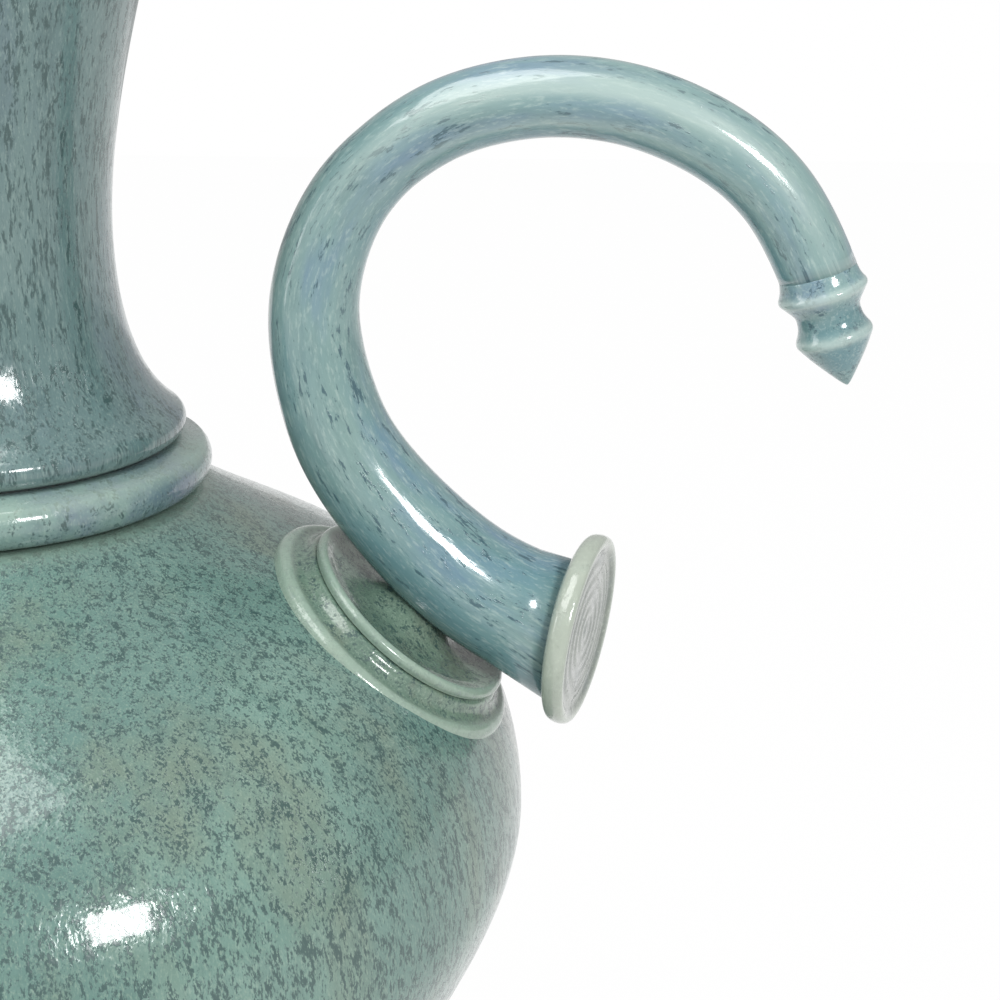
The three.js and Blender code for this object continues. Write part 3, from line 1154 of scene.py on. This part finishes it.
    def disc(self) -> Shell:
        """The end disc, with its thin rolled rim and the rings of its cut face.

        Returns:
            The skin.
        """
        rim = smooth(np.array([
            *measured((self.disc_radius, -self.disc_thickness), self.disc_back),
            *measured((self.disc_radius, 0.0), self.disc_front),
        ]))
        radii = np.linspace(self.disc_radius - self.disc_face_edge, POLE, self.disc_rings)
        grooves = self.disc_groove_depth * np.sin(radii * self.disc_groove_pace)
        face = np.c_[radii, -self.disc_face_depth + grooves]
        outline = np.vstack([[(POLE, -self.disc_thickness)], rim, face])
        thin = paled_along(outline[:, 0], self.disc_radius, self.disc_bare)
        return turned(self.name("disc"), outline, thin, loops=False, sides=self.disc_sides)

    def finial(self) -> Shell:
        """The turned finial, with its root just inside the end of the tube.

        Returns:
            The skin.
        """
        outline = smooth(np.array([
            self.finial_root,
            *measured((self.shaft_radius, 0.0), self.finial_neck),
            *self.finial_profile,
            (self.finial_tip, self.finial_length),
        ]))
        thin = paled_along(outline[:, 1], 0.0, *self.finial_bare)
        return turned(self.name("finial"), outline, thin, loops=False, sides=self.finial_sides)

    def dress(self) -> None:
        """Builds and glazes the five pieces of this side."""
        pad = self.matrix()
        disc = self.heading_matrix(self.disc_centre, self.disc_heading, self.disc_turn)
        finial = self.heading_matrix(self.finial_seat, self.finial_heading)
        for shell, place, glaze, node in (
            (self.pad_base(), pad, PAD_GLAZE, "pad_base"),
            (self.pad_seat(), pad, PAD_GLAZE, "pad_seat"),
            (self.tube(), pad, HORN_GLAZE, "horn_tube"),
            (self.disc(), disc, DISC_GLAZE, "horn_disc"),
            (self.finial(), finial, HORN_GLAZE, "horn_finial"),
        ):
            finish(shell.build(place), glaze, self.name(node))


class Lamp(NamedTuple):
    """A soft square lamp: its place and target in metres, its side in metres and its power in watts."""

    name: str
    place: Place
    target: Place
    size: float
    power: float


LAMPS = (
    Lamp("window", (0.75, -0.95, 0.8), (0.0, 0.0, 0.22), 0.26, 7.0),
    Lamp("overhead", (-0.3, -0.4, 1.3), (0.0, 0.0, 0.2), 0.9, 11.0),
    Lamp("side", (-1.1, -0.2, 0.5), (0.0, 0.0, 0.2), 0.6, 4.0),
)


@dataclass
class Studio:
    """The camera, floor, background and lamps, in metres."""

    camera_place: Place = (0.1308, -0.2911, 0.3282)
    look: Place = (-0.0794, 0.9450, -0.3173)
    lens: float = 54.0
    sensor: float = 36.0
    nearest: float = 0.01
    floor_size: float = 6.0
    floor_colour: Colour = (0.8, 0.8, 0.79)
    floor_roughness: float = 0.9
    floor_glow: float = 0.985
    world_light: float = 0.55
    world_sight: float = 1.0

    def camera(self) -> None:
        """Sets the camera at the photograph's viewing angle."""
        data = bpy.data.cameras.new("camera")
        data.lens = self.lens
        data.sensor_width = self.sensor
        data.clip_start = self.nearest
        camera = bpy.data.objects.new("camera", data)
        camera.location = self.camera_place
        camera.rotation_euler = Vector(self.look).to_track_quat("-Z", "Y").to_euler()
        bpy.context.scene.collection.objects.link(camera)
        bpy.context.scene.camera = camera

    def backdrop_shader(self, material: bpy.types.Material) -> None:
        """Makes the floor nearly all glow to the eye and in reflections, and plain pale to the light.

        Args:
            material: The floor's material.
        """
        nodes, links = material.node_tree.nodes, material.node_tree.links
        shader = nodes["Principled BSDF"]
        shader.inputs["Base Color"].default_value = (*self.floor_colour, 1.0)
        shader.inputs["Roughness"].default_value = self.floor_roughness
        glow = nodes.new("ShaderNodeEmission")
        mixer = nodes.new("ShaderNodeMixShader")
        rays = nodes.new("ShaderNodeLightPath")
        share = nodes.new("ShaderNodeMath")
        share.operation = "MULTIPLY"
        share.inputs[1].default_value = self.floor_glow
        either = nodes.new("ShaderNodeMath")
        either.operation = "MAXIMUM"
        links.new(rays.outputs["Is Camera Ray"], either.inputs[0])
        links.new(rays.outputs["Is Glossy Ray"], either.inputs[1])
        links.new(either.outputs[0], share.inputs[0])
        links.new(share.outputs[0], mixer.inputs["Fac"])
        links.new(shader.outputs["BSDF"], mixer.inputs[1])
        links.new(glow.outputs["Emission"], mixer.inputs[2])
        links.new(mixer.outputs["Shader"], nodes["Material Output"].inputs["Surface"])

    def floor(self) -> None:
        """Lays the floor."""
        half = self.floor_size / 2
        corners = [(-half, -half, 0), (half, -half, 0), (half, half, 0), (-half, half, 0)]
        mesh = bpy.data.meshes.new("floor")
        mesh.from_pydata(corners, [], [(0, 1, 2, 3)])
        floor = bpy.data.objects.new("floor", mesh)
        material = bpy.data.materials.new("floor")
        material.use_nodes = True
        self.backdrop_shader(material)
        mesh.materials.append(material)
        bpy.context.scene.collection.objects.link(floor)

    def world(self) -> None:
        """Sets a white world to the eye and a soft grey one to the light."""
        world = bpy.data.worlds.new("studio")
        world.use_nodes = True
        nodes, links = world.node_tree.nodes, world.node_tree.links
        rays = nodes.new("ShaderNodeLightPath")
        level = nodes.new("ShaderNodeMapRange")
        level.inputs["To Min"].default_value = self.world_light
        level.inputs["To Max"].default_value = self.world_sight
        links.new(rays.outputs["Is Camera Ray"], level.inputs["Value"])
        links.new(level.outputs["Result"], nodes["Background"].inputs["Strength"])
        nodes["Background"].inputs["Color"].default_value = (1.0, 1.0, 1.0, 1.0)
        bpy.context.scene.world = world

    def hang(self, lamp: Lamp) -> None:
        """Hangs a lamp.

        Args:
            lamp: The lamp.
        """
        data = bpy.data.lights.new(lamp.name, "AREA")
        data.size = lamp.size
        data.energy = lamp.power
        light = bpy.data.objects.new(lamp.name, data)
        light.location = lamp.place
        aim = Vector(lamp.target) - Vector(lamp.place)
        light.rotation_euler = aim.to_track_quat("-Z", "Y").to_euler()
        bpy.context.scene.collection.objects.link(light)

    def build(self) -> None:
        """Builds the whole studio."""
        self.camera()
        self.floor()
        self.world()
        for lamp in LAMPS:
            self.hang(lamp)
        bpy.context.scene.view_settings.view_transform = "Standard"


def main() -> None:
    """Builds the studio and the pot."""
    logging.basicConfig(level=logging.INFO, format="%(message)s")
    Studio().build()
    pot = Pot()
    pot.dress()
    for side in Side:
        Horn(pot, side).dress()


if __name__ == "__main__":
    main()
